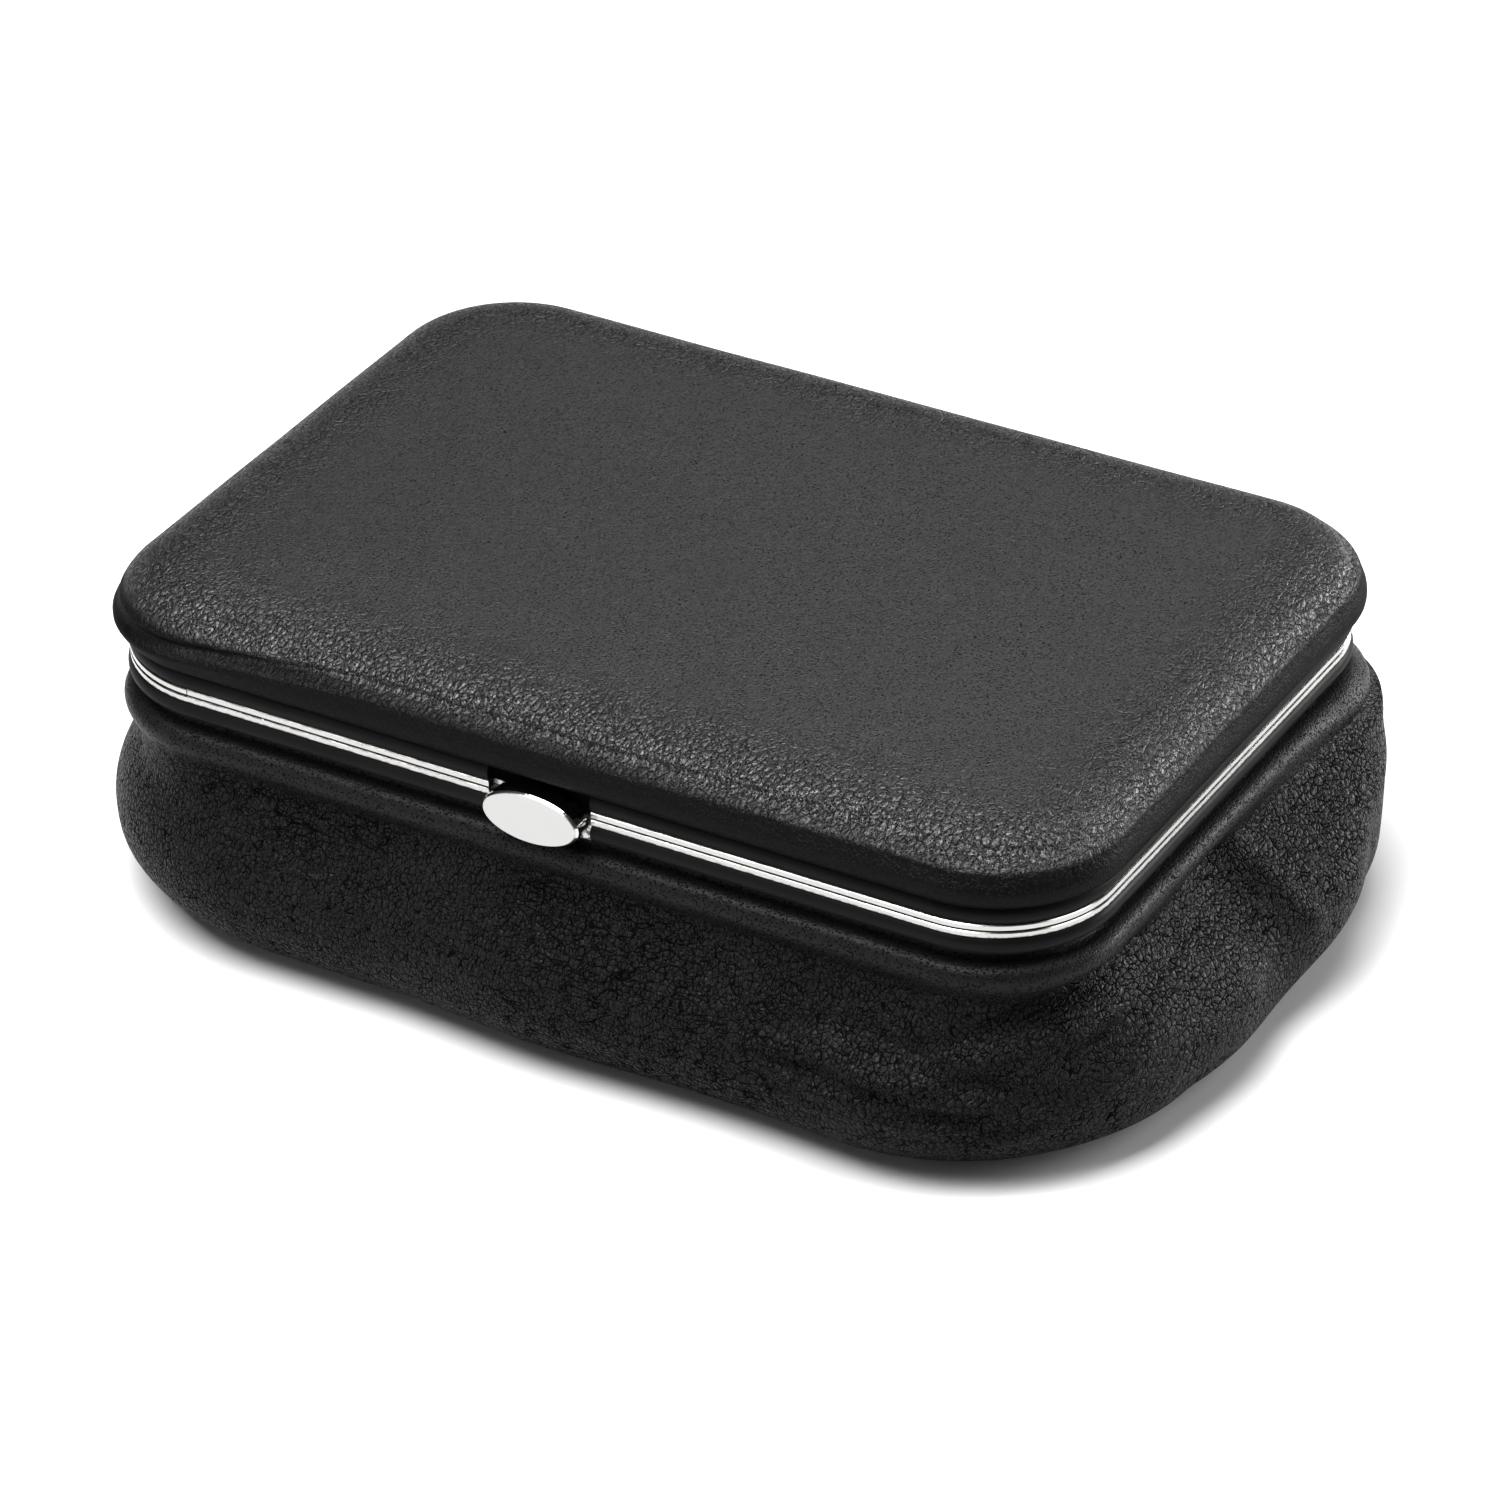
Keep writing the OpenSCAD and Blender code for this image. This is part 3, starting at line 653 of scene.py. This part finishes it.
def make_lid(finish):
    outline = Outline(128, 78, 48)
    width = lid_edge_width(outline)
    rows = [tuple(p) for p in spline(LID_SIDE, 0.5)]
    for t in np.linspace(18, 90, 56):
        c, s = math.cos(math.radians(t)), math.sin(math.radians(t))
        rows.append((LID_OUT - width * (1 - c), LID_TOP - LID_EDGE_H * (1 - s)))
    rings = []
    for r, h in rows:
        wave = 0.10 * ripple(outline.run, np.full_like(outline.run, h * 2), 38.0, 5) * smooth(7, 10, h)
        wave = wave + lid_crease(outline.run, h)
        corner = CORNER + 0.9 * r
        plan, _ = outline.at(HALF_L + r + wave, HALF_W + r + wave, corner)
        rings.append(np.column_stack([plan, np.full(outline.count, JOINT + h)]))
    rings += shrink_rows(rings[-1], 40, lambda share: 0.75 * (1 - (1 - min(1.0, share * 1.6)) ** 2))
    lid = grid_mesh("lid_leather_skin", rings, close_last=True, upwards=True)
    thicken(lid, 1.0)
    paint(lid, finish)
    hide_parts("lid_leather")
    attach(lid, "lid")


# ---------- linings and wadding ----------

def make_pouch_lining(finish):
    """Suedette glued inside the leather, from the frame's channel to the floor of the pouch"""
    outline = Outline(64, 40, 30)
    lining = grid_mesh("pouch_lining_cloth", pouch_rings(outline, inside=1.75), close_last=True)
    thicken(lining, 0.5)
    paint(lining, finish)
    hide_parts("pouch_lining")
    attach(lining, "base")


def make_lid_lining(finish):
    """Thinly padded panel under the lid's board, turned down at its edge"""
    outline = Outline(64, 40, 24)
    low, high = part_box("lid_lining")
    edge, bottom, ceiling = high.x / MM - HALF_L, low.z / MM, high.z / MM - 0.05
    turn, fall = 1.6, 1.15
    rows = [(edge - 0.02, ceiling), (edge - 0.02, bottom + 0.3), (edge - 0.25, bottom), (edge - 0.7, bottom),
            (edge - 1.0, bottom + 0.3)]
    rows += [(edge - 1.0 - 0.25 * math.sin(t), bottom + 0.5 + 0.4 * math.sin(t)) for t in (0.3, 0.8, 1.4)]
    rows += [(edge - 1.3 - turn * (1 - math.cos(t)), ceiling - fall - 0.15 + 0.5 * math.cos(t * 2))
             for t in np.linspace(0.2, math.pi / 2, 8)]
    rings = []
    for r, z in rows:
        plan, _ = outline.at(HALF_L + r, HALF_W + r, np.full(outline.count, CORNER + r))
        rings.append(np.column_stack([plan, np.full(outline.count, z)]))
    rings += shrink_rows(rings[-1], 16, lambda share: 0.25 * math.sin(share * math.pi / 2))
    panel = grid_mesh("lid_lining_panel", rings, close_first=True, close_last=True)
    paint(panel, finish)
    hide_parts("lid_lining")
    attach(panel, "lid")


def make_wadding(finish):
    """Wadding between the lid's leather and its board"""
    outline = Outline(64, 40, 24)
    width = lid_edge_width(outline) - 1.5
    low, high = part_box("lid_padding")
    edge, top, bottom = high.x / MM - HALF_L, high.z / MM, low.z / MM
    _, board_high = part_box("lid_board")
    rim, board_top = board_high.x / MM - HALF_L + 0.2, board_high.z / MM + 0.2
    rows = [(rim, board_top), (rim, bottom + 0.4), (rim + 0.5, bottom), (edge - 0.9, bottom + 0.1),
            (edge - 0.1, bottom + 0.8)]
    rows += [(edge - 0.3 - width * (1 - math.cos(t)), top - 1.0 - (top - bottom - 2.6) * (1 - math.sin(t)))
             for t in np.linspace(0.3, math.pi / 2, 14)]
    rings = []
    for k, (r, z) in enumerate(rows):
        loose = 0.12 * ripple(outline.run, np.full_like(outline.run, z * 3), 9.0, 31) * (k > 2)
        plan, _ = outline.at(HALF_L + r + loose, HALF_W + r + loose, np.full(outline.count, CORNER + 0.9 * r))
        rings.append(np.column_stack([plan, np.full(outline.count, z)]))
    rings += shrink_rows(rings[-1], 16, lambda share: 0.5 * math.sin(share * math.pi / 2))
    pad = grid_mesh("lid_wadding", rings, close_first=True, close_last=True, upwards=True)
    paint(pad, finish)
    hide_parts("lid_padding")
    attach(pad, "lid")


# ---------- carried-over pieces ----------

def dress(nodes, finish):
    """Give CAD nodes that keep their shape a finish"""
    for name in nodes:
        paint(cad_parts[name], finish)


def make_spring(finish):
    """The clasp's coil spring, which stands on the base, as a mesh of its own"""
    spring = link("button_spring_coil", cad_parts["button_spring"].data.copy())
    paint(spring, finish)
    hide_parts("button_spring")
    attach(spring, "base")
    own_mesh(spring)


# ---------- studio ----------

AZIMUTH, ELEVATION, DISTANCE = 29.26, 32.0, 1.165       # degrees, degrees and metres
LENS = 172.8
TARGET = Vector((19.44, -31.93, JOINT)) * MM


def aim(thing, place, target):
    """Put a camera or a light somewhere, pointing at the target"""
    thing.location = place
    thing.rotation_euler = (Vector(target) - Vector(place)).to_track_quat("-Z", "Y").to_euler()


def make_camera():
    data = bpy.data.cameras.new("camera")
    data.lens = LENS
    data.sensor_width = 36
    data.clip_end = 50
    camera = link("camera", data)
    a, e = math.radians(AZIMUTH), math.radians(ELEVATION)
    away = Vector((math.sin(a) * math.cos(e), -math.cos(a) * math.cos(e), math.sin(e)))
    aim(camera, TARGET + DISTANCE * away, TARGET)
    bpy.context.scene.camera = camera


def softbox(name, place, target, width, height, power):
    """A soft area light, with its place and size in metres and its power in watts"""
    data = bpy.data.lights.new(name, "AREA")
    data.shape = "RECTANGLE"
    data.size, data.size_y = width, height
    data.energy = power
    aim(link(name, data), place, target)


def make_studio():
    mesh = bpy.data.meshes.new("floor")
    far = 6.0
    z = cad_box[0][2]
    mesh.from_pydata([(-far, -far, z), (far, -far, z), (far, far, z), (-far, far, z)], [], [(0, 1, 2, 3)])
    floor = link("floor", mesh)
    paint(floor, floor_white())
    softbox("softbox_above", (-0.12, -0.25, 1.15), (0, 0, 0), 0.9, 1.2, 52)
    softbox("softbox_back", (-0.15, 1.5, 1.0), (0, 0, 0), 1.9, 1.0, 6)
    softbox("softbox_right", (0.85, 1.1, 0.16), (0, 0, 0.03), 1.0, 0.3, 22)
    softbox("softbox_fill", (1.2, 0.3, 1.2), (0, 0, 0), 0.8, 0.8, 9)
    softbox("card_left", (-0.6, -0.75, 0.3), (0, 0, 0), 0.5, 0.4, 1.6)
    world = bpy.data.worlds.new("world")
    world.use_nodes = True
    world.node_tree.nodes["Background"].inputs["Color"].default_value = (1, 1, 1, 1)
    world.node_tree.nodes["Background"].inputs["Strength"].default_value = 0.05
    bpy.context.scene.world = world
    bpy.context.scene.view_settings.view_transform = "Standard"


# ---------- assembly ----------

make_lid(lid_leather())
make_pouch(pouch_leather())

felt = suedette("lining_suedette", (0.006, 0.028, 0.016), (0.022, 0.085, 0.05), 1.0)
flock = suedette("tray_flock", (0.010, 0.045, 0.026), (0.03, 0.115, 0.066), 0.7)
dress(["lower_frame", "upper_frame"], polished_metal())
dress(["lower_band", "upper_band"], band_black())
dress(["push_button"], button_metal())
dress(["lower_hinge_leaves", "upper_hinge_leaves", "hinge_pins", "lower_hinge_rivets",
       "upper_hinge_rivets"], hinge_steel())
steel = spring_steel()
dress(["button_stem", "latch_hook", "stem_collar", "clasp_cover", "clasp_screws"], steel)
make_spring(steel)
dress(["stem_bush"], bush_brass())
make_pouch_lining(felt)
make_lid_lining(felt)
make_wadding(wadding())
dress(["chip_tray"], flock)
dress(["base_board", "lid_board"], pressed_board())

make_camera()
make_studio()
